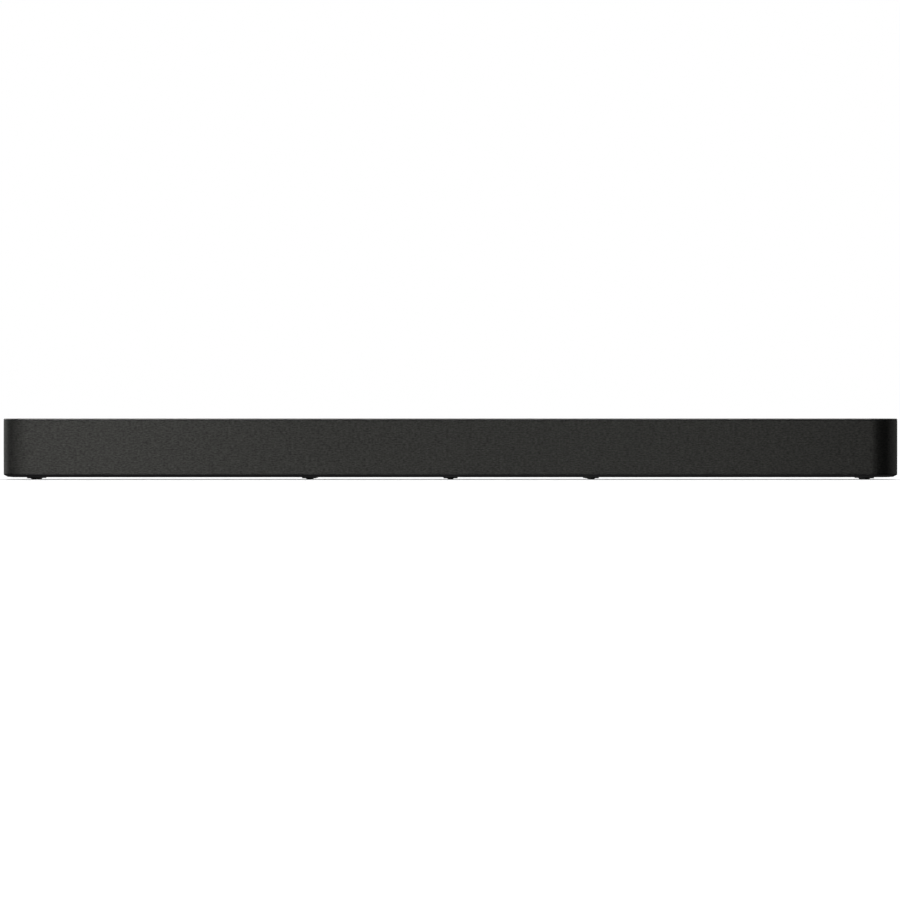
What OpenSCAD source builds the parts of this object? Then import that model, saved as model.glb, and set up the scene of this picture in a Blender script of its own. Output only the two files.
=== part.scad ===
// Slim television soundbar: cloth-wrapped front, plastic top, base and back, ten rubber feet.
// Frame: X along the bar, Y from front to back, Z up; the origin is on the table, under the bar's centre.
// Every outer piece is swept round the same rounded rectangle, seen from above.

/* [Bar] */
// Length of the bar
bar_length = 950; // [946:1:960]
// Depth of the bar, front to back
bar_depth = 128; // [126:1:132]
// Radius of the four upright corners
corner_r = 30; // [28:1:32]
// Height of the feet under the base
foot_h = 2.4; // [2.2:0.1:3]
// Height of the base plate, seen as a dark band under the cloth
base_h = 3.2; // [3:0.1:3.6]
// Height of the cloth-covered front
front_h = 57.2; // [57:0.1:58]
// Thickness of the top plate
top_h = 1.9; // [1.7:0.1:2]
// Rounding of the top plate's upper edge
top_edge_r = 1.0; // [0.8:0.1:1.4]
// Height of the slope cut off the lower edge of the base plate
base_chamfer = 2.7; // [2:0.1:2.9]
// Depth of that slope, measured in from the outside
base_chamfer_d = 4.1; // [2:0.1:4.5]

/* [Grille] */
// Thickness of the grille cloth
cloth_t = 0.6; // [0.5:0.1:0.8]
// Thickness of the plastic grille frame
frame_t = 2.0; // [1.8:0.1:2.2]
// Gap between the grille and the covers
seam = 0.3; // [0.2:0.1:0.4]

/* [Feet] */
// Distance of each end foot from the bar's centre
end_foot_x = 442; // [430:1:445]
// Distance of each inner foot from the bar's centre
inner_foot_x = 150; // [140:1:156]
// Distance of each row of feet from the bar's centre line
foot_row_y = 46; // [44:1:47]
// Diameter of a foot's flange
foot_d = 15; // [13:0.5:16]

/* [Speakers] */
// Distance of the left and right speakers from the centre
outer_driver_x = 388; // [386:1:390]
// Distance of the two subwoofers from the centre
sub_x = 235; // [233:1:240]
// Length between the round ends of a racetrack speaker
track = 52; // [50:1:52]
// Distance of the bass ports from the centre
port_x = 290; // [288:1:296]
// Bore radius of the bass ports
port_r = 14; // [12:0.5:14.5]

/* [Keys] */
// Spacing of the keys on the top
key_pitch = 19; // [18:0.5:20]
// Length of a key
key_l = 13; // [12:0.5:13.5]
// Width of a key
key_w = 7; // [6:0.5:7]

/* [Hidden] */
$fn = 48;
eps = 0.02;

// Heights of the main levels above the table
z_under = foot_h;
z_floor = z_under + base_h;
z_lid = z_floor + front_h;
z_top = z_lid + top_h;
grille_z0 = z_floor + seam;
grille_z1 = z_lid - seam;

// Half sizes, and the centres of the four corners
hx = bar_length / 2;
hy = bar_depth / 2;
corner_x = hx - corner_r;
corner_y = hy - corner_r;

// Front wall that carries the speakers
baffle_t = 3;
baffle_y = -hy + 8;
baffle_half = corner_x - 2;
baffle_back = baffle_y + baffle_t;
flange_t = 2.4;
flange_d = 8;

// The base's underside rises slightly over this rim, before the slope begins
base_rim = 10;
base_rise = 0.5;

// Speaker centres, from left to right: the second and fourth are the subwoofers
driver_z = z_floor + front_h / 2 - 0.2;
driver_x = [-outer_driver_x, -sub_x, 0, sub_x, outer_driver_x];
plate_l = 102;
plate_w = 48;
gasket_t = 0.8;
basket_r = 21.4;
basket_wall = 1;
basket_floor = -15;
cone_r = 15.8;
cone_t = 0.8;
cone_rim_z = -0.75;
cone_neck_z = -9.8;
neck_r = 8.6;
roll_r = 1.75;
roll_mid = cone_r + 1.7;
lip_z = -0.1;
skin_t = 0.5;
plate_steel = 3;
gap_top_z = basket_floor - 1.5;
magnet_z = gap_top_z - plate_steel;
magnet_r = [18, 20.5, 18, 20.5, 18];
magnet_h = [8, 12, 8, 12, 8];
driver_screw = [46.5, 19.5];

// Speaker boxes behind the front wall
box_z0 = z_floor + flange_t + 0.2;
box_z1 = z_lid - 4.9;
box_wall = 2;
box_back = 30;
centre_box_back = -8;
outer_box_x = [outer_driver_x - 52, outer_driver_x + 53];
sub_box_x = [sub_x - 85, sub_x + 94];
centre_box_x = [-66, 66];
wire_hole_z = box_z0 + 6;
outer_wire_x = outer_driver_x + 22;
sub_wire_x = sub_x - 35;
centre_wire_x = 20;

// Back wall, its flanges and its openings
rear_t = 2.5;
flange_y = hy - 18;
bay_x = [12, 148];
bay_z = [12, 52];
bay_back = 42;
bay_wall = 2;
inlet_x = -100;
inlet_back = hy - 22;
insert_x = 230;
insert_z = driver_z;
port_z = driver_z;

// Circuit boards
board_z = 26;
board_t = 1.6;
board_top = board_z + board_t;
main_x = [6, 142];
power_x = [-142, -12];
board_y = [-4, 38];
face_y = 45;
connector_h = 3;
plug_h = 5;
left_plugs = [[16, 8], [16, 13], [16, 18]];
right_plugs = [[138, 12], [138, 18]];
connector_top = board_top + connector_h;
ribbon_t = 0.4;
display_x = 85;
optical_x = 60;
optical_zc = board_top + 5;
shutter_hinge_y = face_y - 0.9;
shutter_hinge_z = optical_zc + 3.4;
shutter_pin_r = 0.6;

// Keys, in a shallow recess of the top plate
key_y = 6;
key_gap = 0.2;
recess_h = 0.6;
key_x = [for (i = [-2:2]) i * key_pitch];
key_h = 1.8;
key_travel = 0.7;
switch_top = 59.2;
key_board_z = 55.6;

// Wires: each starts on its plug and ends on the back of a basket
wire_r = 1.1;
plug_top = board_top + plug_h;
wire_z = 9.6;
basket_back = baffle_y - gap_top_z;
centre_wire = [
    [16, 8, plug_top], [16, 8, 35], [16, 3, 37], [17, -3, 35], [19, -6, 24], [20, -6, 16],
    [20, -9, wire_hole_z], [22, -20, wire_hole_z], [30, -30, 21], [32, -36, 28], [32, basket_back, 28]
];
right_sub_wire = concat(
    [[138, 12, plug_top], [138, 12, 35], [144, 17, 35], [147, 26, 24], [150, 38, 13], [160, 43, wire_z]],
    sub_wire_end(1)
);
right_wire = concat(
    [[138, 18, plug_top], [138, 18, 35], [144, 24, 35], [147, 34, 24], [150, 40, 16], [160, 49, wire_z]],
    outer_wire_end(1)
);
left_sub_wire = concat(
    [[16, 13, plug_top], [16, 13, 37], [8, 30, 40], [-2, 42, 30], [-14, 43, 14], [-30, 43, wire_z]],
    sub_wire_end(-1)
);
left_wire = concat(
    [[16, 18, plug_top], [16, 18, 39], [9, 36, 44], [0, 48, 32], [-14, 49, 14], [-30, 49, wire_z]],
    outer_wire_end(-1)
);
function sub_wire_end(side) = [
    [side * 190, 43, wire_z], [side * 198, 40, 12], [side * 200, 34, wire_hole_z],
    [side * 200, 20, wire_hole_z], [side * 200, -10, wire_hole_z], [side * 202, -28, 21],
    [side * 203, -36, 28], [side * 203, basket_back, 28]
];
function outer_wire_end(side) = [
    [side * 396, 49, wire_z], [side * 406, 45, 11], [side * 410, 36, wire_hole_z],
    [side * 410, 20, wire_hole_z], [side * 412, -10, wire_hole_z], [side * 418, -28, 21],
    [side * 420, -36, 28], [side * 420, basket_back, 28]
];

// Screws and hooks that hold the covers
fixing_x = [-400, -225, -75, 75, 225, 400];
front_fixing_y = baffle_back + 4;
rear_fixing_y = hy - 13;
hook_h = 4.4;
peg_x = [-315, -118, 118, 315];
peg_z = [16, 52];

// ---- shared shapes ----

// A profile of inset (x) against height (y), swept round one corner
module corner_sweep(side_x, side_y) {
    mirror([side_x < 0 ? 1 : 0, 0, 0])
        mirror([0, side_y < 0 ? 1 : 0, 0])
            translate([corner_x, corner_y, 0])
                rotate_extrude(angle = 90)
                    translate([corner_r, 0])
                        mirror([1, 0])
                            children();
}

// The same profile along the front (side_y -1) or the back (side_y 1)
module long_sweep(side_y) {
    mirror([0, side_y > 0 ? 1 : 0, 0])
        translate([-corner_x, -hy, 0])
            rotate([90, 0, 90])
                linear_extrude(2 * corner_x)
                    children();
}

// The same profile along one end, from y0 to y1
module end_sweep(side_x, y0, y1) {
    mirror([side_x > 0 ? 1 : 0, 0, 0])
        translate([-hx, y1, 0])
            rotate([90, 0, 0])
                linear_extrude(y1 - y0)
                    children();
}

// Round the front and both ends, stopping short of the rear corners
module front_wrap(stop_y) {
    long_sweep(-1) children();
    for (side = [-1, 1]) {
        corner_sweep(side, -1) children();
        end_sweep(side, -corner_y, stop_y) children();
    }
}

// Round the rear corners and the back
module rear_wrap() {
    long_sweep(1) children();
    for (side = [-1, 1]) {
        corner_sweep(side, 1) children();
    }
}

// A full plate whose edge has the given profile, from inset 0 to corner_r
module plate(z0, z1) {
    for (side = [-1, 1]) {
        long_sweep(side) children();
        end_sweep(side, -corner_y, corner_y) children();
        corner_sweep(side, -1) children();
        corner_sweep(side, 1) children();
    }
    translate([-corner_x, -corner_y, z0])
        cube([2 * corner_x, 2 * corner_y, z1 - z0]);
}

// A box from its two opposite corners
module block(low, high) {
    translate(low) cube(high - low);
}

// A flat racetrack: two round ends and straight sides
module racetrack(r, run) {
    square([run, 2 * r], center = true);
    for (side = [-1, 1]) {
        translate([side * run / 2, 0]) circle(r);
    }
}

module pill(l, w, h) {
    linear_extrude(h) racetrack(w / 2, l - w);
}

// A ring of the given radii, from z0 to z1
module ring(r_out, r_in, z0, z1) {
    translate([0, 0, z0])
        difference() {
            cylinder(h = z1 - z0, r = r_out);
            translate([0, 0, -1]) cylinder(h = z1 - z0 + 2, r = r_in);
        }
}

// A hole or shaft along Y, from y0 to y1
module rod_y(r, x, z, y0, y1) {
    translate([x, y1, z]) rotate([90, 0, 0]) cylinder(h = y1 - y0, r = r);
}

// A profile of radius against height, swept round a racetrack
module racetrack_sweep(run) {
    for (side = [0, 1]) {
        rotate([0, 0, side * 180]) {
            translate([run / 2, 0, 0])
                rotate([0, 0, -90])
                    rotate_extrude(angle = 180) children();
            translate([run / 2, 0, 0])
                rotate([90, 0, -90])
                    linear_extrude(run) children();
        }
    }
}

// A tube through the given points, as one closed mesh
function unit(v) = v / norm(v);
function heading(path, i) = unit(path[min(i + 1, len(path) - 1)] - path[max(i - 1, 0)]);
function hoop(path, i, r, n) =
    let (t = heading(path, i), u = unit(cross(t, [0.37, 0.21, -0.9])), v = cross(t, u))
    [for (k = [0:n - 1]) path[i] + r * (u * cos(360 * k / n) + v * sin(360 * k / n))];

module tube(path, r, n = 8) {
    points = [for (i = [0:len(path) - 1]) each hoop(path, i, r, n)];
    last = (len(path) - 1) * n;
    sides = [for (i = [0:len(path) - 2], k = [0:n - 1])
        let (a = i * n + k, b = i * n + (k + 1) % n)
        each [[a, b, b + n], [a, b + n, a + n]]];
    caps = [[for (k = [0:n - 1]) n - 1 - k], [for (k = [0:n - 1]) last + k]];
    polyhedron(points = points, faces = concat(sides, caps), convexity = 6);
}

// Puts a speaker part, drawn facing +Z, on the front wall, facing forwards
module at_driver(i) {
    translate([driver_x[i], baffle_y, driver_z]) rotate([90, 0, 0]) children();
}

module at_driver_screws() {
    for (sx = [-1, 1], sy = [-1, 1]) {
        translate([sx * driver_screw[0], sy * driver_screw[1], 0]) children();
    }
}

// ---- casing ----

module top_cover() {
    rounding = [for (a = [0:18:90]) [top_edge_r * (1 - cos(a)), z_top - top_edge_r * (1 - sin(a))]];
    post_x = 52;
    color([0.07, 0.07, 0.07])
        difference() {
            union() {
                plate(z_lid, z_top)
                    polygon(concat([[0, z_lid]], rounding, [[corner_r, z_top], [corner_r, z_lid]]));
                // Skirt that locates the grille
                front_wrap(corner_y - 6)
                    translate([3.4, z_lid - 3.4]) square([1.6, 3.4]);
                for (x = fixing_x) {
                    hook(x, front_fixing_y, -1);
                    hook(x, rear_fixing_y, 1);
                }
                for (side = [-1, 1]) {
                    translate([side * post_x, key_y, key_board_z + board_t])
                        cylinder(h = z_lid - key_board_z - board_t, r = 3);
                }
            }
            translate([0, key_y, z_top - recess_h]) pill(4 * key_pitch + 26, 12, 2);
            for (x = key_x) {
                translate([x, key_y, z_lid - 1])
                    pill(key_l + 2 * key_gap, key_w + 2 * key_gap, 4);
            }
            for (side = [-1, 1]) {
                translate([side * post_x, key_y, key_board_z])
                    cylinder(h = 6, r = 1);
            }
        }
}

// A snap hook under the top plate, whose barb catches under a flange
module hook(x, y, side) {
    barb = [y, y + side * 1.8];
    block([x - 5, y - 0.8, z_lid - hook_h], [x + 5, y + 0.8, z_lid + eps]);
    block([x - 5, min(barb), z_lid - hook_h], [x + 5, max(barb), z_lid - flange_t - 0.2]);
}

// The slot that a hook passes through, with room behind it to bend
module hook_slot(x, y, side) {
    slot = [y + side * 1, y - side * 1.8];
    block([x - 5.4, min(slot), z_lid - hook_h], [x + 5.4, max(slot), z_lid + 1]);
}

module bottom_cover() {
    vent_x = concat([for (i = [0:10]) -132 + i * 9], [for (i = [0:10]) 42 + i * 9]);
    color([0.05, 0.05, 0.05])
        difference() {
            plate(z_under, z_floor)
                polygon([[base_rim, z_under], [base_chamfer_d, z_under + base_rise],
                         [0, z_under + base_chamfer], [0, z_floor],
                         [corner_r, z_floor], [corner_r, z_under]]);
            at_feet(-1) translate([0, 0, z_under - 1]) cylinder(h = base_h + 2, r = 3);
            at_feet(1) translate([0, 0, z_under - 1]) cylinder(h = base_h + 2, r = 3);
            at_cover_screws() {
                translate([0, 0, z_under - 1]) cylinder(h = base_h + 2, r = 1.6);
                translate([0, 0, z_under - 1]) cylinder(h = 2.6, r = 3.2);
            }
            for (x = vent_x) {
                translate([x, 8, z_under - 1]) rotate([0, 0, 90]) pill(44, 3, base_h + 2);
            }
            for (x = [main_x[0] + 6, main_x[1] - 6, power_x[0] + 6, power_x[1] - 6],
                 y = [board_y[0] + 5, board_y[1] - 5]) {
                translate([x, y, z_floor - 1.2]) cylinder(h = 2, r = 2.6);
            }
        }
}

module grille_cloth() {
    color([0.045, 0.045, 0.043])
        front_wrap(corner_y - seam)
            translate([0, grille_z0]) square([cloth_t, grille_z1 - grille_z0]);
}

module grille_frame() {
    slot_pitch = 8;
    slots = 11;
    color([0.1, 0.1, 0.1])
        difference() {
            union() {
                front_wrap(corner_y - seam)
                    translate([cloth_t + 0.05, grille_z0])
                        square([frame_t, grille_z1 - grille_z0]);
                for (x = peg_x, z = peg_z) {
                    rod_y(2.1, x, z, -hy + cloth_t + frame_t - 0.5, baffle_y + 4);
                }
            }
            for (c = driver_x, i = [0:slots - 1]) {
                x = c + (i - (slots - 1) / 2) * slot_pitch;
                translate([x, -hy + 3, driver_z])
                    cube([5.6, 8, 42], center = true);
            }
            translate([display_x, -hy + 3, driver_z]) cube([46, 8, 7], center = true);
        }
}

module grille_grommets() {
    color([0.03, 0.03, 0.03])
        for (x = peg_x, z = peg_z) {
            translate([x, baffle_back, z]) rotate([90, 0, 0]) ring(3.5, 2.2, 0, baffle_t);
        }
}

module rear_cover() {
    vent_x = [for (i = [0:8]) -68 + i * 6];
    color([0.06, 0.06, 0.06])
        difference() {
            union() {
                rear_wrap()
                    translate([0, grille_z0]) square([rear_t, grille_z1 - grille_z0]);
                block([-440, flange_y, z_floor], [440, hy - rear_t + eps, z_floor + flange_t]);
                block([-440, flange_y, z_lid - flange_t], [440, hy - rear_t + eps, z_lid]);
                block([-440, hy - rear_t, z_floor], [440, hy - 1, grille_z0 + eps]);
                block([-440, hy - rear_t, grille_z1 - eps], [440, hy - 1, z_lid]);
                for (side = [-1, 1]) {
                    rod_y(5.5, side * insert_x, insert_z, hy - 10, hy - 1);
                }
            }
            block([bay_x[0], 0, bay_z[0]], [bay_x[1], hy + 1, bay_z[1]]);
            translate([inlet_x, hy + 1, driver_z]) rotate([90, 0, 0]) pill(21.4, 13.4, 8);
            for (side = [-1, 1]) {
                rod_y(port_r + 2.1, side * port_x, port_z, hy - 5, hy + 1);
                rod_y(port_r + 4.2, side * port_x, port_z, hy - 1, hy + 1);
                rod_y(2.95, side * insert_x, insert_z, hy - 11, hy + 1);
            }
            for (x = vent_x) {
                translate([x, hy + 1, driver_z]) rotate([90, 90, 0]) pill(28, 3, 6);
            }
            at_cover_screws() translate([0, 0, z_floor - 1]) cylinder(h = 5, r = 1.5);
            for (x = fixing_x) {
                hook_slot(x, rear_fixing_y, 1);
            }
        }
}

module port_bay() {
    low = [bay_x[0] + 0.15, bay_back, bay_z[0] + 0.15];
    high = [bay_x[1] - 0.15, hy - 0.2, bay_z[1] - 0.15];
    wall = [bay_wall, bay_wall, bay_wall];
    seat_y = hy - rear_t;
    color([0.05, 0.05, 0.05])
        difference() {
            union() {
                block(low, high);
                block([low[0] - 3, seat_y - 2, low[2] - 3], [high[0] + 3, seat_y, high[2] + 3]);
            }
            block(low + wall, high - wall + [0, 10, 0]);
            port_hole(122, 15.4, 6.2);
            port_hole(92, 13.6, 6.6);
            port_hole(60, 13.4, 10.4);
            rod_y(4, 34, board_top + 4, bay_back - 1, bay_back + 5);
        }
}

// A window in the bay's inner wall for a connector that stands on the main board
module port_hole(x, w, h) {
    block([x - w / 2, bay_back - 1, board_top - 0.2], [x + w / 2, bay_back + 5, board_top + h - 0.2]);
}

module at_feet(row) {
    for (x = [-end_foot_x, -inner_foot_x, 0, inner_foot_x, end_foot_x]) {
        translate([x, row * foot_row_y, 0]) children();
    }
}

// A rubber foot: flange, tapered pad and a stem pushed into the base
module foot() {
    flange = 1.15;
    pad_h = foot_h - flange;
    cylinder(h = pad_h + eps, r1 = 2.3, r2 = 3.6);
    translate([0, 0, pad_h]) cylinder(h = flange, d = foot_d);
    translate([0, 0, foot_h - eps]) cylinder(h = base_h - 0.2, r = 2.9);
}

module front_feet() {
    color([0.02, 0.02, 0.02]) at_feet(-1) foot();
}

module rear_feet() {
    color([0.02, 0.02, 0.02]) at_feet(1) foot();
}

module at_cover_screws() {
    for (x = fixing_x, y = [front_fixing_y, rear_fixing_y]) {
        translate([x, y, 0]) children();
    }
}

module cover_screws() {
    color([0.35, 0.35, 0.36])
        at_cover_screws()
            difference() {
                union() {
                    translate([0, 0, z_under + 0.2]) cylinder(h = 1.3, r = 2.9);
                    translate([0, 0, z_under + 1.4]) cylinder(h = 4.2, r = 1.4);
                }
                cross_slot(z_under - 0.6, 3.4);
            }
}

// A crosshead recess, cut upwards from z0
module cross_slot(z0, l) {
    for (a = [0, 90]) {
        rotate([0, 0, a]) translate([-l / 2, -0.35, z0]) cube([l, 0.7, 1.5]);
    }
}

module wall_inserts() {
    color([0.7, 0.55, 0.25])
        for (side = [-1, 1]) {
            translate([side * insert_x, hy, insert_z])
                rotate([90, 0, 0]) ring(2.9, 2, 0, 9);
        }
}

// ---- keys ----

// A key cap with a raised mark, a retaining flange and a plunger
module key(i) {
    translate([key_x[i], key_y, 0]) {
        translate([0, 0, z_lid - 0.15]) pill(key_l, key_w, key_h);
        translate([0, 0, z_lid - 0.15 + key_h - eps]) key_mark(i);
        translate([0, 0, z_lid - 0.95]) pill(key_l + 3, key_w + 3, 0.8 + eps);
        translate([0, 0, switch_top + key_travel + 0.1])
            cylinder(h = z_lid - switch_top - key_travel - 1, r = 1.6);
    }
}

// Raised marks to find the keys by touch: ring, bar and dot, two dots, bar, cross
module key_mark(i) {
    h = 0.15;
    if (i == 0) {
        ring(1.7, 1.2, 0, h);
    }
    if (i == 1) {
        translate([-0.8, 0, 0]) pill(2.4, 0.6, h);
        translate([1.6, 0, 0]) cylinder(h = h, r = 0.5);
    }
    if (i == 2) {
        for (x = [-0.9, 0.9]) {
            translate([x, 0, 0]) cylinder(h = h, r = 0.5);
        }
    }
    if (i >= 3) {
        pill(3, 0.6, h);
    }
    if (i == 4) {
        rotate([0, 0, 90]) pill(3, 0.6, h);
    }
}

module power_key() { color([0.12, 0.12, 0.12]) key(0); }
module source_key() { color([0.12, 0.12, 0.12]) key(1); }
module pairing_key() { color([0.12, 0.12, 0.12]) key(2); }
module volume_down_key() { color([0.12, 0.12, 0.12]) key(3); }
module volume_up_key() { color([0.12, 0.12, 0.12]) key(4); }

module key_board() {
    color([0.05, 0.3, 0.12])
        difference() {
            block([-58, key_y - 8, key_board_z], [58, key_y + 8, key_board_z + board_t]);
            for (side = [-1, 1]) {
                translate([side * 52, key_y, key_board_z - 1]) cylinder(h = 4, r = 1.3);
            }
        }
}

module key_switches() {
    base_h = 1.4;
    z0 = key_board_z + board_t;
    color([0.2, 0.2, 0.2])
        for (x = key_x) {
            translate([x, key_y, 0]) {
                block([-3, -3, z0], [3, 3, z0 + base_h]);
                translate([0, 0, z0 + base_h - eps])
                    cylinder(h = switch_top - z0 - base_h + eps, r = 1.7);
            }
        }
}

// A flat cable: a thin strip along a path in the YZ plane
module ribbon(path, x, w) {
    points = concat(path, [for (i = [len(path) - 1:-1:0]) path[i] + [ribbon_t, ribbon_t]]);
    translate([x - w / 2, 0, 0]) rotate([90, 0, 90]) linear_extrude(w) polygon(points);
}

module key_ribbon() {
    color([0.85, 0.85, 0.8])
        ribbon([[11, key_board_z - ribbon_t], [18, key_board_z - ribbon_t], [21, 52],
                [21, connector_top]], 30, 10);
}

// ---- front wall and speakers ----

module front_baffle() {
    color([0.12, 0.12, 0.12])
        difference() {
            union() {
                block([-baffle_half, baffle_y, z_floor], [baffle_half, baffle_back, z_lid]);
                block([-baffle_half, baffle_back - eps, z_floor],
                      [baffle_half, baffle_back + flange_d, z_floor + flange_t]);
                block([-baffle_half, baffle_back - eps, z_lid - flange_t],
                      [baffle_half, baffle_back + flange_d, z_lid]);
            }
            for (i = [0:4]) {
                at_driver(i) {
                    translate([0, 0, -5]) linear_extrude(10) racetrack(basket_r + 0.2, track);
                    at_driver_screws() translate([0, 0, -5]) cylinder(h = 10, r = 1.25);
                }
            }
            for (x = peg_x, z = peg_z) {
                rod_y(3.6, x, z, baffle_y - 1, baffle_back + 1);
            }
            block([display_x - 7, baffle_y - 1, driver_z - 2],
                  [display_x + 7, baffle_back + 1, driver_z + 2]);
            at_cover_screws() translate([0, 0, z_floor - 1]) cylinder(h = 5, r = 1.5);
            for (x = fixing_x) {
                hook_slot(x, front_fixing_y, -1);
            }
        }
}

// Paper cone with its dust cap: a racetrack rim that narrows to a round neck
module cone(i) {
    color([0.16, 0.16, 0.17])
        at_driver(i) {
            difference() {
                hull() {
                    translate([0, 0, cone_rim_z - 0.1])
                        linear_extrude(0.1, $fn = 32) racetrack(cone_r, track);
                    translate([0, 0, cone_neck_z]) linear_extrude(0.1, $fn = 32) circle(neck_r);
                }
                hull() {
                    translate([0, 0, cone_rim_z])
                        linear_extrude(0.1, $fn = 32) racetrack(cone_r - cone_t, track);
                    translate([0, 0, cone_neck_z + cone_t])
                        linear_extrude(0.1, $fn = 32) circle(neck_r - cone_t);
                }
            }
            translate([0, 0, cone_neck_z + cone_t - 0.2]) cylinder(h = 2.4, r1 = 7, r2 = 3);
        }
}

module left_cone() cone(0);
module left_sub_cone() cone(1);
module centre_cone() cone(2);
module right_sub_cone() cone(3);
module right_cone() cone(4);

// Former and copper winding that ride in the magnet's gap
module voice_coil(i) {
    color([0.72, 0.45, 0.2])
        at_driver(i)
            rotate_extrude()
                polygon([[8, -23], [9.1, -23], [9.1, -17], [8.4, -17],
                         [8.4, cone_neck_z], [8, cone_neck_z]]);
}

module left_voice_coil() voice_coil(0);
module left_sub_voice_coil() voice_coil(1);
module centre_voice_coil() voice_coil(2);
module right_sub_voice_coil() voice_coil(3);
module right_voice_coil() voice_coil(4);

// Rubber half-roll round the cone, and the corrugated spider behind it
module suspension(i) {
    steps = 10;
    inner_r = roll_r - skin_t;
    waves = [for (k = [0:12]) [8.9 + k * 0.69, basket_floor + 1.3 + 0.35 * (1 - cos(k * 90))]];
    color([0.04, 0.04, 0.04])
        at_driver(i) {
            racetrack_sweep(track)
                polygon(concat(
                    [[cone_r - 1.2, lip_z - skin_t], [roll_mid - inner_r, lip_z - skin_t]],
                    [for (k = [0:steps]) [roll_mid - inner_r * cos(180 * k / steps),
                                          lip_z + inner_r * sin(180 * k / steps)]],
                    [[roll_mid + inner_r, lip_z - skin_t], [20.2, lip_z - skin_t], [20.2, lip_z]],
                    [for (k = [steps:-1:0]) [roll_mid - roll_r * cos(180 * k / steps),
                                             lip_z + roll_r * sin(180 * k / steps)]],
                    [[cone_r - 1.2, lip_z]]));
            rotate_extrude()
                polygon(concat(waves, [for (k = [12:-1:0]) waves[k] + [0, 0.4]]));
        }
}

module left_suspension() suspension(0);
module left_sub_suspension() suspension(1);
module centre_suspension() suspension(2);
module right_sub_suspension() suspension(3);
module right_suspension() suspension(4);

module flange_outline() {
    r = 6;
    square([plate_l - 2 * r, plate_w], center = true);
    square([plate_l, plate_w - 2 * r], center = true);
    for (sx = [-1, 1], sy = [-1, 1]) {
        translate([sx * (plate_l / 2 - r), sy * (plate_w / 2 - r)]) circle(r);
    }
}

// Basket: mounting flange, racetrack wall with vents, and the floor that carries the magnet
module basket() {
    inner = basket_r - basket_wall;
    difference() {
        union() {
            translate([0, 0, gasket_t]) linear_extrude(2) flange_outline();
            translate([0, 0, gap_top_z])
                linear_extrude(gasket_t + 1 - gap_top_z) racetrack(basket_r, track);
        }
        // Well above the landing of the surround, and the well below it
        translate([0, 0, lip_z - skin_t]) linear_extrude(6) racetrack(inner, track);
        translate([0, 0, basket_floor]) linear_extrude(20) racetrack(inner - 1.8, track);
        translate([0, 0, gap_top_z - 1]) cylinder(h = 5, r = 14);
        for (x = [-26, 26], sy = [-1, 1]) {
            translate([x, sy * basket_r, basket_floor + 6]) cube([20, 12, 9], center = true);
        }
        for (sx = [-1, 1]) {
            translate([sx * (track / 2 + basket_r), 0, basket_floor + 6])
                cube([12, 16, 9], center = true);
        }
        at_driver_screws() cylinder(h = 5, r = 1.6);
    }
    ring(17.4, 15.4, basket_floor - eps, basket_floor + 1.3);
}

module driver_baskets() {
    color([0.15, 0.15, 0.15]) for (i = [0:4]) at_driver(i) basket();
}

module driver_gaskets() {
    color([0.08, 0.08, 0.08])
        for (i = [0:4]) {
            at_driver(i)
                difference() {
                    linear_extrude(gasket_t) flange_outline();
                    translate([0, 0, -1]) linear_extrude(4) racetrack(basket_r + 0.2, track);
                    at_driver_screws() translate([0, 0, -1]) cylinder(h = 4, r = 1.8);
                }
        }
}

module driver_magnets() {
    color([0.2, 0.2, 0.22])
        for (i = [0:4]) {
            at_driver(i) ring(magnet_r[i], 11, magnet_z - magnet_h[i], magnet_z);
        }
}

// Steel parts of each magnet: the top plate, and the back plate with its pole
module driver_yokes() {
    pole_r = 7.5;
    color([0.55, 0.55, 0.57])
        for (i = [0:4]) {
            back_z = magnet_z - magnet_h[i] - plate_steel;
            at_driver(i) {
                ring(magnet_r[i] - 0.5, 9.6, magnet_z, gap_top_z);
                translate([0, 0, back_z]) cylinder(h = plate_steel, r = magnet_r[i] - 0.5);
                translate([0, 0, back_z + 1]) cylinder(h = gap_top_z - back_z - 1, r = pole_r);
            }
        }
}

module driver_screws() {
    head_z = gasket_t + 2;
    color([0.3, 0.3, 0.3])
        for (i = [0:4]) {
            at_driver(i)
                at_driver_screws()
                    difference() {
                        union() {
                            translate([0, 0, head_z]) cylinder(h = 1.6, r = 2.6);
                            translate([0, 0, -2.8]) cylinder(h = head_z + 3, r = 1.2);
                        }
                        cross_slot(head_z + 1, 3);
                    }
        }
}

// An open-fronted box behind the front wall, with a hole for the wire
module speaker_box(x, back, wire_x) {
    w = box_wall;
    difference() {
        block([x[0], baffle_back, box_z0], [x[1], back, box_z1]);
        block([x[0] + w, baffle_back - 1, box_z0 + w], [x[1] - w, back - w, box_z1 - w]);
        rod_y(1.8, wire_x, wire_hole_z, back - w - 1, back + 1);
    }
}

module speaker_boxes() {
    color([0.18, 0.18, 0.18]) {
        for (side = [0, 1]) {
            mirror([side, 0, 0]) speaker_box(outer_box_x, box_back, outer_wire_x);
        }
        speaker_box(centre_box_x, centre_box_back, centre_wire_x);
    }
}

module sub_boxes() {
    color([0.18, 0.18, 0.18])
        for (side = [0, 1]) {
            mirror([side, 0, 0])
                difference() {
                    speaker_box(sub_box_x, box_back, sub_wire_x);
                    rod_y(port_r + 2.1, port_x, port_z, box_back - 5, box_back + 5);
                }
        }
}

// Bass port: a straight tube with a rolled mouth, flush with the back
module bass_ports() {
    outer = port_r + 2;
    inside_y = -12;
    color([0.04, 0.04, 0.04])
        for (side = [-1, 1]) {
            translate([side * port_x, hy, port_z])
                rotate([90, 0, 0])
                    rotate_extrude()
                        polygon([[port_r + 4, 0], [port_r + 4, 1], [outer, 1],
                                 [outer, hy - inside_y], [port_r, hy - inside_y],
                                 [port_r, 6], [port_r + 0.6, 2.5], [port_r + 2.2, 0]]);
        }
}

// ---- electronics ----

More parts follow.
